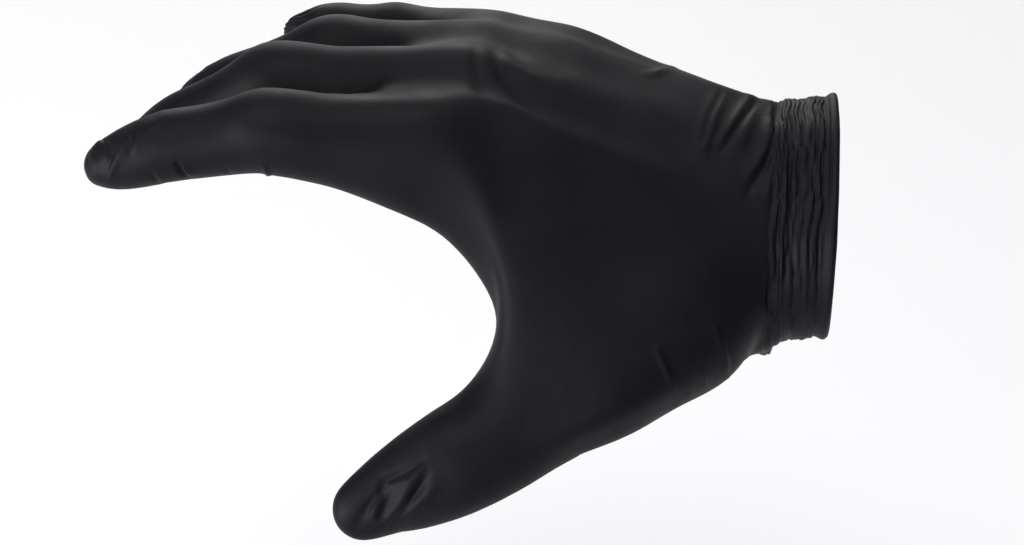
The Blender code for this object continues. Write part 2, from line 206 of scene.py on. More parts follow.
# The cuff's rings from the bead to the wrist: shares of the cuff's length, of the gathers' height, of the
# pleats' depth and of the flare over the thumb's heel
CuffRing = namedtuple("CuffRing", "along swell pleat flare")
CUFF_RINGS = (
    CuffRing(0.21, 0.00, 0.0, 0.0),
    CuffRing(0.40, 0.45, 0.2, 0.0),
    CuffRing(0.60, 0.00, -0.2, 0.05),
    CuffRing(0.80, 0.35, 0.3, 0.4),
    CuffRing(1.00, 0.20, 0.6, 1.0),
)


class Cage:
    """Quads joined ring by ring, with the point that each corner's smoothed surface has to pass through.

    A loose corner is not moved to reach its point. Where a ring splits, that would draw out a spike."""

    def __init__(self):
        self.points = []
        self.faces = []
        self.loose = set()

    def corner(self, point):
        self.points.append(Vector(point))
        return len(self.points) - 1

    def ring(self, points):
        return [self.corner(point) for point in points]

    def bridge(self, near, far):
        count = len(near)
        for i in range(count):
            j = (i + 1) % count
            self.faces.append((near[i], near[j], far[j], far[i]))

    def cap(self, ring, point):
        """Close a ring of eight with four quads that meet at one corner."""
        centre = self.corner(point)
        for i in range(0, len(ring), 2):
            before = ring[i - 1]
            after = ring[(i + 1) % len(ring)]
            self.faces.append((before, ring[i], after, centre))


def between(a, b, share):
    return a + (b - a) * share


def spread(first, last, count):
    return [between(first, last, i / (count - 1)) for i in range(count)]


def section(centre, right, up, half_breadth, half_depth, angles):
    """Corners round one section, at angles in degrees from right towards up."""
    corners = []
    for angle in angles:
        turn = math.radians(angle)
        corners.append(centre + right * half_breadth * math.cos(turn) + up * half_depth * math.sin(turn))
    return corners


def palm_axes():
    """Forward along the palm and up through the back of the hand."""
    bend = Matrix.Rotation(WRIST_BEND, 3, "Y")
    return bend @ FORWARD, bend @ BACK_OF_HAND


def wrist_centre():
    return FORWARD * CUFF_LENGTH - BACK_OF_HAND * WRIST_DROP


def finger_bones(finger):
    """A finger's joints from knuckle to tip, each bone's forward and up directions, and the sideways one."""
    forward, up = palm_axes()
    knuckle = (
        FORWARD * CUFF_LENGTH
        + forward * finger.forward * PALM_LENGTH
        + LITTLE_SIDE * finger.across * PALM_BREADTH
        + up * finger.up * PALM_DEPTH
    )
    splay = Matrix.Rotation(math.radians(-finger.splay), 3, up)
    sideways = splay @ LITTLE_SIDE
    joints = [knuckle]
    axes = []
    bend = 0
    for degrees, share in zip(finger.bends, finger.bones):
        bend += degrees
        turn = Matrix.Rotation(math.radians(-bend), 3, sideways)
        axes.append((turn @ splay @ forward, turn @ up))
        joints.append(joints[-1] + axes[-1][0] * share * finger.length)
    return joints, axes, sideways


def thumb_bones():
    """The thumb's joints from wrist to tip, and each bone's forward, nail and inner directions."""
    forward, up = palm_axes()
    root = (
        FORWARD * CUFF_LENGTH
        + forward * THUMB_ROOT.x * PALM_LENGTH
        + LITTLE_SIDE * THUMB_ROOT.y * CUFF_BREADTH
        + BACK_OF_HAND * THUMB_ROOT.z * CUFF_DEPTH
    )
    joints = [root]
    axes = []
    for bone in THUMB_BONES:
        swing = math.radians(bone.swing)
        drop = math.radians(bone.drop)
        roll = math.radians(bone.roll)
        level = (FORWARD * math.cos(swing) - LITTLE_SIDE * math.sin(swing)).normalized()
        along = level * math.cos(drop) - BACK_OF_HAND * math.sin(drop)
        inward = BACK_OF_HAND.cross(level) * -1
        above = inward.cross(along)
        nail = above * math.sin(roll) - inward * math.cos(roll)
        axes.append((along, nail, along.cross(nail)))
        joints.append(joints[-1] + along * bone.length)
    return joints, axes


def joint_blend(axes, bone, along, which):
    """A bone's direction, averaged with the next bone's at the joint between them."""
    here = axes[bone][which]
    if along < 1 or bone + 1 == len(axes):
        return here
    return (here + axes[bone + 1][which]).normalized()


def drawn(loop, corners, pull):
    """The loop with the four corners beside the thumb's web pulled towards it."""
    loop = list(loop)
    for corner, share in zip(corners, WEB_DRAW):
        loop[corner] = loop[corner] + pull * share
    return loop


def finger_ring(finger, bones, row):
    joints, axes, sideways = bones
    up = joint_blend(axes, row.bone, row.along, 1)
    centre = between(joints[row.bone], joints[row.bone + 1], row.along) + up * row.lift * finger.breadth
    half_breadth = row.breadth * finger.breadth / 2
    half_depth = row.depth * finger.breadth / 2
    loop = section(centre, sideways, up, half_breadth, half_depth, FINGER_ANGLES)
    return drawn(loop, (0, 7, 6, 5), -up * row.web * finger.breadth)


def thumb_ring(bones, row):
    joints, axes = bones
    nail = joint_blend(axes, row.bone, row.along, 1)
    inner = joint_blend(axes, row.bone, row.along, 2)
    centre = between(joints[row.bone], joints[row.bone + 1], row.along) + nail * row.lift * THUMB_BREADTH
    half_breadth = row.breadth * THUMB_BREADTH / 2
    half_depth = row.depth * THUMB_BREADTH / 2
    loop = section(centre, inner, nail, half_breadth, half_depth, THUMB_ANGLES)
    return drawn(loop, (6, 7, 0, 1), inner * row.web * THUMB_BREADTH)


def knuckle_ring(skeletons, row):
    """One ring across the four fingers: back, little side, front and index side, and the webs' corners."""
    loops = []
    for i, (finger, bones) in enumerate(zip(FINGERS, skeletons)):
        web = 0.0 if i else row.web
        spot = Section(0, row.along * finger.web, row.breadth, row.depth, row.lift, web)
        loops.append(finger_ring(finger, bones, spot))
    forward, up = palm_axes()
    back = [loops[0][0]]
    front = [loops[0][6]]
    webs = []
    for i, loop in enumerate(loops):
        back.append(loop[1])
        front.append(loop[5])
        if i + 1 == len(loops):
            back.append(loop[2])
            front.append(loop[4])
            continue
        other = loops[i + 1]
        middle = (loop[3] + other[7]) / 2
        ridge = (loop[1] + other[1]) / 2
        floor = (loop[5] + other[5]) / 2
        back.append(between(middle, ridge, row.valley))
        front.append(between(middle, floor, row.valley))
        bulge = WEB_BULGE * (FINGERS[i].breadth + FINGERS[i + 1].breadth) / 2
        webs.append(middle + forward * bulge)
    return back, loops[-1][3], front, loops[0][7], webs


def cuff_angles():
    """The angles of the whole ring: back of the hand, little side, front of the hand, thumb side."""
    back = spread(*CUFF_BACK_ANGLES, BACK_CORNERS)
    front = spread(*CUFF_FRONT_ANGLES, BACK_CORNERS)
    thumb = spread(front[-1], back[0] - 360, THUMB_CORNERS + 2)[1:-1]
    return back + [0] + front + thumb


def cuff_corner(along, turned, swell):
    """A corner of the cuff's oval, swelled outwards, at a share of the cuff's length."""
    right = LITTLE_SIDE * math.cos(CUFF_ROLL) + BACK_OF_HAND * math.sin(CUFF_ROLL)
    up = BACK_OF_HAND * math.cos(CUFF_ROLL) - LITTLE_SIDE * math.sin(CUFF_ROLL)
    across = right * (CUFF_BREADTH / 2 + swell) * math.cos(turned)
    above = up * (CUFF_DEPTH / 2 + swell) * math.sin(turned)
    return between(Vector(), wrist_centre(), along) + across + above


def bead_ring(turn):
    """One ring round the rolled bead, at an angle in degrees from the mouth outwards."""
    turn = math.radians(turn)
    behind = BEAD_RADIUS * (1 - math.cos(turn))
    swell = BEAD_STAND + BEAD_RADIUS * math.sin(turn)
    return [cuff_corner(behind / CUFF_LENGTH, math.radians(angle), swell) for angle in cuff_angles()]


def cuff_ring(row, turn):
    """One ring of the cuff.

    The gathers sway to and fro along the arm, and the pleats stand every other corner out.
    """
    loop = []
    for i, angle in enumerate(cuff_angles()):
        turned = math.radians(angle)
        swell = GATHER_HEIGHT * row.swell + PLEAT_DEPTH * row.pleat * (-1) ** i
        swell += HEEL_FLARE * row.flare * max(0, math.cos(turned - HEEL_ANGLE)) ** 2
        sway = FORWARD * GATHER_SWAY * math.sin(2 * turned + SWAY_STEP * turn)
        loop.append(cuff_corner(row.along, turned, swell) + sway)
    return loop


def pad_swell(column, row):
    """How far the front of the palm stands out at a column, from the thumb's pad to the heel."""
    share = column / (BACK_CORNERS - 1)
    if share < 0.5:
        return between(row.thenar, row.hollow, share / 0.5)
    return between(row.hollow, row.heel, (share - 0.5) / 0.5)


def trunk_ring(wrist, knuckles, thumb, row):
    """One ring from the wrist towards the knuckles, and the edge of the thumb's web at its place."""
    forward, up = palm_axes()
    back, little_side, front, index_side, webs = knuckles
    corners = BACK_CORNERS
    wrist_back = wrist[:corners]
    wrist_front = wrist[corners + 1:2 * corners + 1]
    ring_back = [between(a, b, row.along) for a, b in zip(wrist_back, back)]
    ring_little = between(wrist[corners], little_side, row.along)
    ring_front = [between(a, b, row.along) for a, b in zip(wrist_front, reversed(front))]
    for i in range(corners):
        ring_back[i] += up * PALM_DEPTH * row.back * i / (corners - 1)
        ring_front[i] -= up * PALM_DEPTH * pad_swell(corners - 1 - i, row)
    side = between((wrist_back[0] + wrist_front[-1]) / 2, index_side, row.along)

    spot = Section(row.bone, row.thumb, row.breadth, row.depth, 0.0, 0.0)
    loop = thumb_ring(thumb, spot)
    joints = thumb[0]
    travel = between(joints[row.bone], joints[row.bone + 1], row.thumb) - joints[0]
    thumb_side = [between(a + travel, b, row.own) for a, b in zip(wrist[2 * corners + 1:], loop[1:6])]
    across = loop[7] - side
    nail = joint_blend(thumb[1], row.bone, row.thumb, 1)
    ring_back[0] = between(ring_back[0], loop[6], row.seam) + nail * row.back_lift * THUMB_BREADTH
    ring_front[-1] = between(ring_front[-1], loop[0], row.seam) - nail * row.front_lift * THUMB_BREADTH
    edge = side + across * WEB_EDGE_SEAM + forward * across.length * WEB_EDGE_FORWARD
    return ring_back + [ring_little] + ring_front + thumb_side, edge


def glove_cage():
    cage = Cage()
    rings = [cage.ring(bead_ring(turn)) for turn in BEAD_TURNS]
    for turn, row in enumerate(CUFF_RINGS, 2):
        wrist = cuff_ring(row, turn)
        rings.append(cage.ring(wrist))

    skeletons = [finger_bones(finger) for finger in FINGERS]
    thumb = thumb_bones()
    knuckles = knuckle_ring(skeletons, KNUCKLE_RINGS[0])
    for row in TRUNK_RINGS:
        points, edge = trunk_ring(wrist, knuckles, thumb, row)
        rings.append(cage.ring(points))
    for near, far in zip(rings, rings[1:]):
        cage.bridge(near, far)

    # The last of those rings splits at the web's edge into the palm's ring and the thumb's ring.
    edge = cage.corner(edge)
    split = rings[-1]
    palm = split[:2 * BACK_CORNERS + 1] + [edge]
    thumb_loop = split[2 * BACK_CORNERS:] + [split[0], edge]
    cage.loose.update((split[0], split[2 * BACK_CORNERS]))

    for row in THUMB_SECTIONS:
        far = cage.ring(thumb_ring(thumb, row))
        cage.bridge(thumb_loop, far)
        thumb_loop = far
    cage.cap(thumb_loop, thumb[0][-1] + thumb[1][-1][1] * THUMB_SECTIONS[-1].lift * THUMB_BREADTH)

    for row in KNUCKLE_RINGS:
        back, little_side, front, index_side, web_points = knuckle_ring(skeletons, row)
        far = cage.ring(back + [little_side] + front[::-1] + [index_side])
        cage.bridge(palm, far)
        palm = far
    webs = cage.ring(web_points)
    cage.loose.update(webs)

    # The ring at the webs splits into the four fingers' rings.
    back = palm[:BACK_CORNERS]
    little_side = palm[BACK_CORNERS]
    front = palm[BACK_CORNERS + 1:2 * BACK_CORNERS + 1][::-1]
    sides = [palm[-1]] + webs + [little_side]
    for i, (finger, bones) in enumerate(zip(FINGERS, skeletons)):
        first = 2 * i
        loop = back[first:first + 3] + [sides[i + 1]] + front[first:first + 3][::-1] + [sides[i]]
        for row in FINGER_SECTIONS:
            far = cage.ring(finger_ring(finger, bones, row))
            cage.bridge(loop, far)
            loop = far
        tip = bones[0][-1] + bones[1][-1][1] * FINGER_SECTIONS[-1].lift * finger.breadth
        cage.cap(loop, tip)
    return cage, len(rings[0])


def settle(cage, mouth):
    """Move the corners until the smoothed surface passes through the points that they were given."""
    beside = [set() for point in cage.points]
    across = [[] for point in cage.points]
    for face in cage.faces:
        for i in range(4):
            beside[face[i]].update((face[i - 1], face[(i + 1) % 4]))
            across[face[i]].append(face[(i + 2) % 4])
    points = [point.copy() for point in cage.points]
    for turn in range(SETTLING_ROUNDS):
        moved = []
        for i, point in enumerate(points):
            if i < mouth:
                edge = points[(i + 1) % mouth] + points[(i - 1) % mouth]
                smooth = (point * 4 + edge) / 6
            else:
                count = len(beside[i])
                smooth = point * count * count
                for j in beside[i]:
                    smooth += points[j] * 4
                for j in across[i]:
                    smooth += points[j]
                smooth /= count * (count + 5)
            moved.append(point if i in cage.loose else point + cage.points[i] - smooth)
        points = moved
    return points


# Broad unevenness of the whole film: height and size of its waves
WAVES = ((0.00012, 0.014), (0.00004, 0.006))

# The cuff's gathers: ridges that run round the cuff, waver and merge
GATHERS_START = -0.0026
GATHERS_FULL = -0.0036
GATHERS_FADE = -0.0130
GATHERS_END = -0.0185
Gather = namedtuple("Gather", "height pitch waver waver_size seed")
GATHERS = (
    Gather(0.00032, 0.0019, 0.0016, 0.013, 3.0),
    Gather(0.00018, 0.0011, 0.0012, 0.007, 11.0),
)

# Creases across the palm's side of each finger's joints: how far past the joint in finger breadths, then the
# height and the width
Crease = namedtuple("Crease", "along height width")
CREASES = (
    Crease(0.10, -0.00045, 0.0007),
    Crease(-0.05, 0.00015, 0.0016),
    Crease(-0.19, -0.00025, 0.0006),
)
CREASE_SIDE = 0.15  # how far the film has to face the palm's side before a crease starts

# The valley between two fingers where they part: its depth and half width, how far it starts behind the web
# and ends ahead of it, and how far round the web it is looked for
GROOVE_DEPTH = 0.0022
GROOVE_WIDTH = 0.0034
GROOVE_BEHIND = 0.010
GROOVE_AHEAD = 0.009
GROOVE_REACH = 0.022

# The slack film over each fingertip: ridges along the finger, on the nail's side
TIP_REACH = 1.1
TIP_RIDGES = 5
TIP_HEIGHT = 0.00042

# Folds that the photograph shows: the height and half width in metres, and the line of pixels that each one
# follows. Their places were read from the photograph, and their heights chosen to look like it.
Fold = namedtuple("Fold", "height width line")
WRIST_BACK_FOLDS = (
    Fold(0.00045, 0.0009, ((680, 66), (668, 69), (655, 73), (640, 75))),
    Fold(0.00030, 0.0016, ((723, 84), (712, 109), (706, 127), (700, 152), (695, 170))),
    Fold(-0.00045, 0.0008, ((724, 85), (717, 102), (710, 116), (706, 131), (701, 148))),
    Fold(0.00030, 0.0010, ((727, 94), (716, 112), (711, 131), (705, 147), (701, 160))),
    Fold(0.00050, 0.0013, ((754, 91), (740, 112), (732, 126), (724, 137), (717, 150))),
    Fold(-0.00055, 0.0009, ((762, 93), (747, 113), (738, 125), (727, 142), (719, 154))),
    Fold(0.00022, 0.0016, ((756, 106), (748, 128), (740, 150))),
    Fold(-0.00022, 0.0014, ((764, 110), (757, 126), (748, 148), (738, 168))),
    Fold(0.00045, 0.0013, ((771, 94), (771, 131), (768, 148), (758, 163), (744, 179))),
    Fold(-0.00055, 0.0010, ((776, 96), (775, 132), (771, 151), (763, 169), (751, 187), (745, 200))),
    Fold(0.00035, 0.0013, ((782, 97), (780, 149), (772, 178), (758, 212))),
    Fold(
        -0.00050, 0.0006,
        ((787, 100), (790, 160), (790, 200), (789, 245), (784, 280), (782, 310), (777, 345)),
    ),
)
SIDE_FOLDS = (
    Fold(0.00016, 0.0006, ((572, 380), (562, 391), (555, 402))),
    Fold(-0.00014, 0.0007, ((533, 398), (528, 416), (522, 434))),
    Fold(0.00012, 0.0008, ((604, 392), (596, 404), (592, 420))),
    Fold(0.00014, 0.0007, ((560, 318), (566, 332), (574, 344))),
    Fold(-0.00012, 0.0008, ((700, 236), (716, 252), (738, 262))),
    Fold(0.00014, 0.0009, ((690, 262), (712, 274), (740, 280))),
)
HEEL_FOLDS = (
    Fold(-0.00030, 0.0007, ((770, 284), (768, 300), (772, 316))),
    Fold(0.00040, 0.0009, ((713, 318), (721, 340), (727, 362), (727, 384))),
    Fold(-0.00025, 0.0007, ((718, 322), (727, 344), (732, 364), (731, 380))),
    Fold(0.00045, 0.0010, ((655, 346), (664, 362), (672, 382), (675, 398))),
    Fold(-0.00030, 0.0008, ((660, 350), (671, 370), (679, 392))),
    Fold(0.00025, 0.0007, ((681, 318), (685, 326), (687, 332))),
    Fold(0.00035, 0.0008, ((698, 366), (704, 378), (706, 392))),
    Fold(0.00030, 0.0008, ((684, 378), (690, 390), (692, 402))),
    Fold(0.00030, 0.0007, ((745, 352), (748, 362), (748, 370))),
)
EDGE_SWELLS = (
    Fold(-0.00120, 0.0060, ((420, 90), (480, 97), (540, 110), (600, 130), (660, 155), (720, 184))),
    Fold(-0.00060, 0.0045, ((310, 96), (365, 95), (410, 95), (480, 97))),
)
KNUCKLE_FOLDS = (
    Fold(-0.00030, 0.0010, ((476, 44), (475, 62), (479, 76), (484, 92))),
    Fold(0.00048, 0.0018, ((483, 44), (485, 68), (496, 88), (511, 96), (534, 105))),
    Fold(-0.00052, 0.0015, ((494, 54), (504, 76), (518, 91), (536, 101))),
    Fold(0.00044, 0.0012, ((499, 49), (504, 58), (513, 66), (524, 73), (543, 83))),
    Fold(-0.00042, 0.0020, ((508, 53), (526, 62), (548, 68), (574, 73))),
    Fold(0.00014, 0.0012, ((461, 64), (467, 86), (475, 101))),
    Fold(0.00014, 0.0018, ((420, 50), (445, 47), (467, 47), (497, 48))),
)
INDEX_FOLDS = (
    Fold(-0.00070, 0.0006, ((175, 160), (180, 170), (191, 180))),
    Fold(0.00035, 0.0009, ((182, 164), (191, 177))),
    Fold(-0.00035, 0.0005, ((151, 172), (161, 187))),
    Fold(-0.00028, 0.0005, ((224, 165), (234, 179))),
    Fold(0.00045, 0.0006, ((262, 163), (271, 180))),
    Fold(-0.00045, 0.0007, ((100, 134), (108, 146), (112, 160))),
    Fold(0.00045, 0.0009, ((122, 136), (118, 155), (112, 170), (108, 189))),
    Fold(-0.00035, 0.0008, ((116, 136), (113, 154), (106, 172))),
    Fold(0.00040, 0.0009, ((133, 127), (125, 146), (122, 164))),
    Fold(0.00040, 0.0010, ((151, 118), (139, 136), (133, 155))),
    Fold(-0.00035, 0.0008, ((142, 122), (132, 138), (128, 156))),
    Fold(0.00035, 0.0009, ((166, 110), (152, 126), (144, 146))),
    Fold(0.00040, 0.0008, ((103, 134), (93, 154), (95, 180))),
)
THUMB_FOLDS = (
    Fold(
        -0.00075, 0.0011,
        ((426, 455), (412, 468), (398, 475), (385, 481), (380, 494), (368, 506), (360, 519), (355, 535)),
    ),
    Fold(0.00080, 0.0015, ((423, 464), (410, 484), (401, 503), (388, 520), (370, 535))),
    Fold(-0.00070, 0.0010, ((430, 468), (421, 486), (409, 502), (399, 515), (386, 529))),
    Fold(0.00065, 0.0014, ((441, 476), (427, 494), (411, 509), (396, 524))),
    Fold(0.00050, 0.0010, ((380, 494), (375, 509), (371, 526))),
    Fold(-0.00045, 0.0012, ((391, 484), (387, 503), (381, 522))),
    Fold(0.00140, 0.0075, ((400, 528), (440, 517), (470, 509), (498, 500), (530, 482), (580, 454))),
)
PHOTO_FOLDS = (
    WRIST_BACK_FOLDS + SIDE_FOLDS + HEEL_FOLDS + EDGE_SWELLS + KNUCKLE_FOLDS + INDEX_FOLDS + THUMB_FOLDS
)

# Folds of the palm's side, which the photograph hides, so they are guesses. Their lines are shares of the
# palm's length and breadth.
PALM_FOLDS = (
    Fold(-0.00060, 0.0022, ((0.98, -0.42), (0.82, -0.16), (0.55, 0.00), (0.25, 0.02), (0.06, -0.04))),
    Fold(-0.00040, 0.0018, ((0.84, 0.46), (0.80, 0.20), (0.88, -0.06))),
    Fold(-0.00035, 0.0018, ((0.66, 0.42), (0.70, 0.14), (0.84, -0.20))),
    Fold(0.00040, 0.0012, ((0.06, -0.22), (0.22, -0.30), (0.38, -0.33))),
    Fold(0.00035, 0.0010, ((0.05, -0.08), (0.18, -0.14), (0.30, -0.20))),
    Fold(0.00035, 0.0011, ((0.04, 0.16), (0.20, 0.22), (0.34, 0.24))),
    Fold(0.00030, 0.0010, ((0.05, 0.28), (0.16, 0.33), (0.30, 0.36))),
)

BROAD_FOLD = 0.003  # a fold with more than this half width is a plain swell
SEEN_DEPTH = 0.007  # a point is hidden when the film stands at least this far in front of it
FACING_RANGE = (-0.12, 0.05)  # of how far the film faces the camera, over which the photo's folds set in
FOLD_MARGIN = 4  # how far round its line a fold is worked out, in half widths
FADE_POWER = 0.7  # under 1, a fold keeps its height nearer to its ends

FLOOR_DROP = 0.16  # below the glove's lowest point
FLOOR_SIZE = 8.0

# The studio's round soft lights, all aimed at the glove's middle: size in metres and power in watts
GLOVE_MIDDLE = (-0.09, -0.01, 0.0)
SoftLight = namedtuple("SoftLight", "name place size power colour")
SOFT_LIGHTS = (
    SoftLight("Back softbox", (-0.6, 2.3, 0.8), 1.5, 18, (1.0, 0.99, 0.97)),
    SoftLight("High softbox", (0.26, 1.3, 1.73), 1.8, 10, (1.0, 1.0, 1.0)),
    SoftLight("Top softbox", (-0.3, -0.5, 2.1), 2.2, 36, (1.0, 1.0, 1.0)),
    SoftLight("Left softbox", (-1.4, -0.9, 0.1), 1.1, 38, (1.0, 0.99, 0.98)),
    SoftLight("Front softbox", (-0.4, -1.8, 0.25), 0.9, 12, (0.85, 0.84, 1.0)),
)
ROOM_COLOUR = (0.90, 0.89, 1.0, 1)
ROOM_STRENGTH = 0.165


def camera_axes():
    """The camera's place and its forward, right and up directions."""
    azimuth, elevation = CAMERA_AZIMUTH, CAMERA_ELEVATION
    forward = Vector((
        -math.sin(azimuth) * math.cos(elevation),
        math.cos(azimuth) * math.cos(elevation),
        -math.sin(elevation),
    ))
    right = Vector((math.cos(azimuth), math.sin(azimuth), 0))
    up = right.cross(forward)
    offset = (MOUTH_PIXEL - Vector((PHOTO_WIDTH, PHOTO_HEIGHT)) / 2) / FOCAL_PIXELS
    place = (forward + right * offset.x - up * offset.y) * -CAMERA_DISTANCE
    return place, forward, right, up


def photo_pixels(points):
    """The pixels that an array of points falls on, and how far each one is along the camera's view."""
    place, forward, right, up = (np.array(axis) for axis in camera_axes())
    seen = points - place
    depth = seen @ forward
    across = PHOTO_WIDTH / 2 + FOCAL_PIXELS * (seen @ right) / depth
    down = PHOTO_HEIGHT / 2 - FOCAL_PIXELS * (seen @ up) / depth
    return np.stack([across, down], axis=1), depth


def ease(value, low, high):
    """Rises smoothly from 0 at low to 1 at high."""
    share = np.clip((value - low) / (high - low), 0, 1)
    return share * share * (3 - 2 * share)


def noise_at(points, size, seed):
    """Smooth noise between -1 and 1, in waves of a size."""
    shift = Vector((seed, 2.3 * seed, 5.1 * seed))
    return np.array([noise.noise(Vector(point) / size + shift) for point in points])


def distance_to_line(places, line):
    """How far each place is from a line of points, and how far along the line the nearest point lies."""
    line = np.array(line, float)
    steps = np.linalg.norm(np.diff(line, axis=0), axis=1)
    before = np.concatenate([[0], np.cumsum(steps)])
    nearest = np.full(len(places), np.inf)
    along = np.zeros(len(places))
    for i, step in enumerate(steps):
        direction = (line[i + 1] - line[i]) / step
        reach = np.clip((places - line[i]) @ direction, 0, step)
        distance = np.linalg.norm(places - line[i] - reach[:, None] * direction, axis=1)
        closer = distance < nearest
        nearest[closer] = distance[closer]
        along[closer] = (before[i] + reach[closer]) / before[-1]
    return nearest, along


def fold_profile(distance, width):
    """A ridge with a shallow dip on each side, or a plain swell where it is broad."""
    share = distance / width
    if width > BROAD_FOLD:
        return np.exp(-share ** 2)
    return 1.3 * np.exp(-share ** 2) - 0.3 * np.exp(-(share / 2.2) ** 2)


def fold_ends(along):
    """Fades a fold out at both its ends."""
    return np.sin(math.pi * np.clip(along, 0, 1)) ** FADE_POWER


def photo_folds(points, normals, grids):
    """The folds that the photograph shows, raised only where the camera sees the film."""
    place, *_ = camera_axes()
    pixels, depth = photo_pixels(points)
    towards = np.array(place) - points
    towards /= np.linalg.norm(towards, axis=1)[:, None]
    facing = ease(np.sum(towards * normals, axis=1), *FACING_RANGE)
    outer = grids[:, [0, 0, -1, -1], [0, -1, -1, 0]]
    tree = BVHTree.FromPolygons(points.tolist(), outer.tolist())
    seen = {}
    heights = np.zeros(len(points))
    for fold in PHOTO_FOLDS:
        line = np.array(fold.line, float)
        margin = FOLD_MARGIN * fold.width * FOCAL_PIXELS / CAMERA_DISTANCE
        inside = (pixels > line.min(axis=0) - margin) & (pixels < line.max(axis=0) + margin)
        near = np.nonzero(inside.all(axis=1) & (facing > 0))[0]
        distance, along = distance_to_line(pixels[near], line)
        distance = distance * depth[near] / FOCAL_PIXELS
        for i in near:
            if i not in seen:
                ray = Vector(points[i]) - place
                hit = tree.ray_cast(place, ray.normalized())
                seen[i] = hit[3] is not None and hit[3] > ray.length - SEEN_DEPTH
        clear = np.array([seen[i] for i in near], float)
        rise = fold_profile(distance, fold.width) * fold_ends(along)
        heights[near] += fold.height * rise * facing[near] * clear
    return heights


def palm_folds(points, normals):
    """The folds of the palm's side, laid over it from below."""
    forward, up = (np.array(axis) for axis in palm_axes())
    start = np.array(FORWARD * CUFF_LENGTH)
    along = (points - start) @ forward / PALM_LENGTH
    across = points[:, 1] / PALM_BREADTH
    facing = ease(-(normals @ up), 0.1, 0.5) * ease(along, -0.1, 0.05) * (1 - ease(along, 1.0, 1.15))
    places = np.stack([along * PALM_LENGTH, across * PALM_BREADTH], axis=1)
    heights = np.zeros(len(points))
    for fold in PALM_FOLDS:
        line = [(a * PALM_LENGTH, b * PALM_BREADTH) for a, b in fold.line]
        distance, share = distance_to_line(places, line)
        heights += fold.height * fold_profile(distance, fold.width) * fold_ends(share) * facing
    return heights


def gather_folds(points):
    """The fine ridges that run round the cuff."""
    x = points[:, 0]
    share = ease(-x, -GATHERS_START, -GATHERS_FULL) * (1 - ease(-x, -GATHERS_FADE, -GATHERS_END))
    near = np.nonzero(share > 0)[0]
    heights = np.zeros(len(points))
    for gather in GATHERS:
        sites = points[near] * (0.35, 1, 1)
        waver = gather.waver * noise_at(sites, gather.waver_size, gather.seed)
        strength = 0.75 + 0.6 * noise_at(sites, 2 * gather.waver_size, gather.seed + 7)
        phase = (x[near] + waver) / gather.pitch
        ridge = 1.57 * np.abs(np.sin(math.pi * phase)) - 1
        heights[near] += gather.height * ridge * np.clip(strength, 0, None)
    return heights * share


def nearest_bone(points, skeletons):
    """Which finger each point lies on, as -1 for none."""
    owner = np.full(len(points), -1)
    best = np.full(len(points), np.inf)
    for number, (joints, axes, sideways) in enumerate(skeletons):
        for a, b in zip(joints, joints[1:]):
            a = np.array(a)
            bone = np.array(b) - a
            share = np.clip((points - a) @ bone / (bone @ bone), 0, 1)
            distance = np.linalg.norm(points - a - share[:, None] * bone, axis=1)
            closer = distance < best
            best[closer] = distance[closer]
            owner[closer] = number
    owner[best > 0.8 * MIDDLE_BREADTH] = -1
    return owner


def finger_folds(points, normals, skeletons):
    """Creases across the palm's side of the joints, and slack ridges over the nails."""
    heights = np.zeros(len(points))
    owner = nearest_bone(points, skeletons)
    for number, (finger, (joints, axes, sideways)) in enumerate(zip(FINGERS, skeletons)):
        own = owner == number
        sites = points[own]
        turned = normals[own]
        rise = np.zeros(len(sites))
        for j in (1, 2):
            forward = np.array(joint_blend(axes, j - 1, 1, 0))
            up = np.array(joint_blend(axes, j - 1, 1, 1))
            ahead = (sites - np.array(joints[j])) @ forward
            facing = ease(-(turned @ up), CREASE_SIDE, CREASE_SIDE + 0.5)
            if number == 0:
                facing = facing * ease(turned @ np.array(sideways), -0.6, -0.1)
            for crease in CREASES:
                distance = ahead - crease.along * finger.breadth
                rise += crease.height * np.exp(-(distance / crease.width) ** 2) * facing
        if number:
            tip = np.array(joints[-1])
            forward, up = (np.array(axis) for axis in axes[-1])
            side = np.array(sideways)
            back = (tip - sites) @ forward
            reach = 1 - ease(back, 0.5 * finger.breadth, TIP_REACH * finger.breadth)
            facing = ease(turned @ up, -0.2, 0.5)
            turn = np.arctan2(turned @ up, turned @ side)
            turn = turn + 0.9 * noise_at(sites, 0.007, number)
            rise += TIP_HEIGHT * (np.abs(np.sin(TIP_RIDGES * turn)) - 0.6) * reach * facing
        heights[own] += rise
    return heights


def web_grooves(points, skeletons):
    """Deepens the valley between two neighbouring fingers where they part."""
    heights = np.zeros(len(points))
    for i in range(len(FINGERS) - 1):
        ends = []
        forward = Vector()
        for finger, (joints, axes, sideways) in zip(FINGERS[i:i + 2], skeletons[i:i + 2]):
            ends.append(between(joints[0], joints[1], finger.web))
            forward += axes[0][0]
        forward.normalize()
        side = (ends[1] - ends[0]).normalized()
        offset = points - np.array((ends[0] + ends[1]) / 2)
        near = np.linalg.norm(offset, axis=1) < GROOVE_REACH
        ahead = offset[near] @ np.array(forward)
        across = offset[near] @ np.array(side)
        share = ease(ahead, -GROOVE_BEHIND, 0.0) * (1 - ease(ahead, 0.0, GROOVE_AHEAD))
        heights[near] -= GROOVE_DEPTH * np.exp(-(across / GROOVE_WIDTH) ** 2) * share
    return heights


def waves(points):
    """The broad unevenness of stretched film."""
    heights = np.zeros(len(points))
    for number, (height, size) in enumerate(WAVES):
        heights += height * noise_at(points, size, 20.0 + number)
    return heights


def totals(numbers, values, count):
    """The sum of the values that share each number."""
    return np.stack([np.bincount(numbers, values[:, axis], count) for axis in range(3)], axis=1)


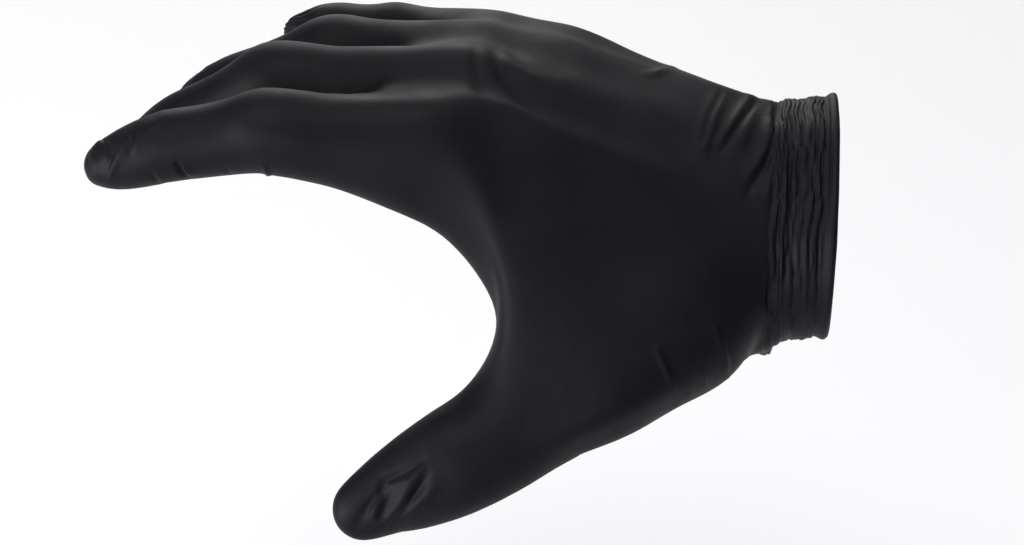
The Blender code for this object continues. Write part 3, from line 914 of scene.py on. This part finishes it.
def smoothed(points, grids):
    """One round of Catmull-Clark smoothing. A grid holds the numbers of the points across one patch."""
    corners = np.stack(
        [grids[:, :-1, :-1], grids[:, 1:, :-1], grids[:, 1:, 1:], grids[:, :-1, 1:]], axis=-1
    )
    faces = corners.reshape(-1, 4)
    count = len(points)
    pairs = np.sort(np.stack([faces, np.roll(faces, -1, axis=1)], axis=-1).reshape(-1, 2), axis=1)
    keys, which = np.unique(pairs[:, 0] * count + pairs[:, 1], return_inverse=True)
    edges = np.stack([keys // count, keys % count], axis=1)
    halves = points[edges].mean(axis=1)
    middles = points[faces].mean(axis=1)
    beside = totals(which, np.repeat(middles, 4, axis=0), len(edges))
    inner = np.bincount(which) == 2
    edge_points = np.where(inner[:, None], (2 * halves + beside) / 4, halves)

    valence = np.bincount(edges.ravel(), minlength=count)[:, None]
    spokes = totals(edges.ravel(), np.repeat(halves, 2, axis=0), count)
    around = totals(faces.ravel(), np.repeat(middles, 4, axis=0), count)
    moved = ((around + 2 * spokes) / valence + (valence - 3) * points) / valence
    rim = edges[~inner].ravel()
    on_rim = np.unique(rim)
    along_rim = totals(rim, np.repeat(halves[~inner], 2, axis=0), count)
    moved[on_rim] = points[on_rim] / 2 + along_rim[on_rim] / 4

    patches, across = grids.shape[:2]
    sides = which.reshape(corners.shape) + count
    finer = np.empty((patches, 2 * across - 1, 2 * across - 1), int)
    finer[:, ::2, ::2] = grids
    finer[:, 1::2, 1::2] = np.arange(len(faces)).reshape(corners.shape[:3]) + count + len(edges)
    finer[:, 1::2, :-1:2] = sides[..., 0]
    finer[:, 1::2, -1] = sides[:, :, -1, 2]
    finer[:, :-1:2, 1::2] = sides[..., 3]
    finer[:, -1, 1::2] = sides[:, -1, :, 1]
    return np.concatenate([moved, edge_points, middles]), finer


def parted(grids):
    """Each quad of the grids as a patch of its own."""
    near = np.stack([grids[:, :-1, :-1], grids[:, :-1, 1:]], axis=-1)
    far = np.stack([grids[:, 1:, :-1], grids[:, 1:, 1:]], axis=-1)
    return np.stack([near, far], axis=-2).reshape(-1, 2, 2)


def fine_patches():
    """The cage's smoothed surface as patches, with every point that a fold could need."""
    cage, mouth = glove_cage()
    points = np.array([tuple(point) for point in settle(cage, mouth)])
    grids = np.array(cage.faces)[:, [0, 3, 1, 2]].reshape(-1, 2, 2)
    for _ in range(PATCH_ROUNDS):
        points, grids = smoothed(points, grids)
    grids = parted(grids)
    for _ in range(FINE_ROUNDS):
        points, grids = smoothed(points, grids)
    return points, grids


def surface_normals(points, grids):
    across = points[grids[:, 1:, 1:]] - points[grids[:, :-1, :-1]]
    back = points[grids[:, :-1, 1:]] - points[grids[:, 1:, :-1]]
    face_normals = np.cross(across, back).reshape(-1, 3)
    corners = [grids[:, :-1, :-1], grids[:, 1:, :-1], grids[:, 1:, 1:], grids[:, :-1, 1:]]
    normals = sum(totals(corner.ravel(), face_normals, len(points)) for corner in corners)
    return normals / np.linalg.norm(normals, axis=1)[:, None]


def patch_steps(heights, grids):
    """How far apart each patch's points may be for its folds to keep their form."""
    whole = grids.shape[1] - 1
    places = np.arange(whole + 1)
    steps = np.full(len(grids), whole // 2)
    rises = heights[grids]
    for step in (whole // 2, whole // 4):
        kept = places[::step]
        weights = np.array([np.interp(places, kept, row) for row in np.eye(len(kept))]).T
        straight = weights @ rises[:, ::step, ::step] @ weights.T
        steps[np.abs(rises - straight).max(axis=(1, 2)) > FOLD_TOLERANCE] = step // 2
    return steps


def lay_faces(grids, steps):
    """Each patch's faces at its own step. Where a neighbour is finer, a face takes in its points too."""
    used = np.zeros(grids.max() + 1, bool)
    for step in np.unique(steps):
        used[grids[steps == step][:, ::step, ::step]] = True
    faces = []
    for step in np.unique(steps):
        own = grids[steps == step]
        starts = np.arange(0, grids.shape[1] - 1, step)
        border = [(k, 0) for k in range(step)] + [(step, k) for k in range(step)]
        border += [(step - k, step) for k in range(step)] + [(0, step - k) for k in range(step)]
        loops = [own[:, (starts + a)[:, None], (starts + b)[None, :]] for a, b in border]
        loops = np.stack(loops, axis=-1).reshape(-1, 4 * step)
        kept = used[loops]
        plain = kept.sum(axis=1) == 4
        faces += loops[plain][:, ::step].tolist()
        faces += [loop[keep].tolist() for loop, keep in zip(loops[~plain], kept[~plain])]
    return used, faces


def build_film():
    points, grids = fine_patches()
    normals = surface_normals(points, grids)
    skeletons = [finger_bones(finger) for finger in FINGERS]
    heights = gather_folds(points) + palm_folds(points, normals)
    heights += photo_folds(points, normals, grids) + finger_folds(points, normals, skeletons)
    heights += web_grooves(points, skeletons)
    used, faces = lay_faces(grids, patch_steps(heights, grids))
    heights[used] += waves(points[used])
    places = points[used] + normals[used] * heights[used, None]
    numbers = np.cumsum(used) - 1
    mesh = bpy.data.meshes.new("nitrile_film")
    mesh.from_pydata(places.tolist(), [], [[int(numbers[i]) for i in face] for face in faces])
    mesh.update()
    mesh.shade_smooth()
    mesh.materials.append(film_material())
    film = bpy.data.objects.new("glove_film", mesh)
    bpy.context.scene.collection.objects.link(film)
    return film


def texture(nodes, links, coordinates, kind, **settings):
    node = nodes.new(kind)
    for name, value in settings.items():
        if name in node.inputs:
            node.inputs[name].default_value = value
        else:
            setattr(node, name, value)
    links.new(coordinates, node.inputs["Vector"])
    return node


def film_material():
    """Black nitrile: a satin skin with a fine grain and faint clouds where it is stretched more or less."""
    material = bpy.data.materials.new("Black nitrile film")
    material.use_nodes = True
    nodes = material.node_tree.nodes
    links = material.node_tree.links
    shader = nodes["Principled BSDF"]
    shader.inputs["IOR"].default_value = 1.5
    shader.inputs["Specular IOR Level"].default_value = 0.10
    coordinates = nodes.new("ShaderNodeTexCoord").outputs["Object"]

    clouds = texture(nodes, links, coordinates, "ShaderNodeTexNoise", Scale=60, Detail=3)
    colour = nodes.new("ShaderNodeValToRGB")
    colour.color_ramp.elements[0].position = 0.35
    colour.color_ramp.elements[0].color = (0.0036, 0.0034, 0.0051, 1)
    colour.color_ramp.elements[1].position = 0.70
    colour.color_ramp.elements[1].color = (0.0052, 0.0049, 0.0071, 1)
    links.new(clouds.outputs["Fac"], colour.inputs["Fac"])
    links.new(colour.outputs["Color"], shader.inputs["Base Color"])

    patches = texture(nodes, links, coordinates, "ShaderNodeTexNoise", Scale=110, Detail=4)
    gloss = nodes.new("ShaderNodeMapRange")
    gloss.inputs["From Min"].default_value = 0.3
    gloss.inputs["From Max"].default_value = 0.7
    gloss.inputs["To Min"].default_value = 0.50
    gloss.inputs["To Max"].default_value = 0.60
    links.new(patches.outputs["Fac"], gloss.inputs["Value"])
    links.new(gloss.outputs["Result"], shader.inputs["Roughness"])

    grain = texture(nodes, links, coordinates, "ShaderNodeTexNoise", Scale=1700, Detail=2)
    fine = nodes.new("ShaderNodeBump")
    fine.inputs["Strength"].default_value = 0.45
    fine.inputs["Distance"].default_value = 0.00008
    links.new(grain.outputs["Fac"], fine.inputs["Height"])
    puckers = texture(nodes, links, coordinates, "ShaderNodeTexNoise", Scale=420, Detail=3)
    soft = nodes.new("ShaderNodeBump")
    soft.inputs["Strength"].default_value = 0.3
    soft.inputs["Distance"].default_value = 0.0001
    links.new(puckers.outputs["Fac"], soft.inputs["Height"])
    links.new(fine.outputs["Normal"], soft.inputs["Normal"])
    links.new(soft.outputs["Normal"], shader.inputs["Normal"])
    return material


def build_floor():
    low = solid_box[0][2] - FLOOR_DROP
    half = FLOOR_SIZE / 2
    mesh = bpy.data.meshes.new("floor")
    corners = [(-half, -half, low), (half, -half, low), (half, half, low), (-half, half, low)]
    mesh.from_pydata(corners, [], [(0, 1, 2, 3)])
    floor = bpy.data.objects.new("floor", mesh)
    bpy.context.scene.collection.objects.link(floor)
    material = bpy.data.materials.new("Pale floor")
    material.use_nodes = True
    shader = material.node_tree.nodes["Principled BSDF"]
    shader.inputs["Base Color"].default_value = (0.87, 0.87, 0.87, 1)
    shader.inputs["Roughness"].default_value = 0.9
    shader.inputs["Specular IOR Level"].default_value = 0.0
    mesh.materials.append(material)
    return floor


def hang_light(soft):
    light = bpy.data.lights.new(soft.name, "AREA")
    light.shape = "DISK"
    light.size = soft.size
    light.energy = soft.power
    light.color = soft.colour
    lamp = bpy.data.objects.new(soft.name, light)
    lamp.location = soft.place
    aim = Vector(GLOVE_MIDDLE) - Vector(soft.place)
    lamp.rotation_euler = aim.to_track_quat("-Z", "Y").to_euler()
    bpy.context.scene.collection.objects.link(lamp)


def build_lights():
    world = bpy.data.worlds.new("Studio")
    world.use_nodes = True
    background = world.node_tree.nodes["Background"]
    background.inputs["Color"].default_value = ROOM_COLOUR
    background.inputs["Strength"].default_value = ROOM_STRENGTH
    bpy.context.scene.world = world
    for soft in SOFT_LIGHTS:
        hang_light(soft)
    bpy.context.scene.view_settings.view_transform = "Standard"


def build_camera():
    place, forward, right, up = camera_axes()
    data = bpy.data.cameras.new("Camera")
    data.sensor_width = SENSOR_WIDTH
    data.lens = FOCAL_PIXELS / PHOTO_WIDTH * SENSOR_WIDTH
    data.clip_start = 0.01
    camera = bpy.data.objects.new("Camera", data)
    camera.matrix_world = Matrix((right, up, -forward)).transposed().to_4x4()
    camera.location = place
    bpy.context.scene.collection.objects.link(camera)
    bpy.context.scene.camera = camera


film = build_film()
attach(film, "root")
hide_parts("glove")
build_floor()
build_lights()
build_camera()
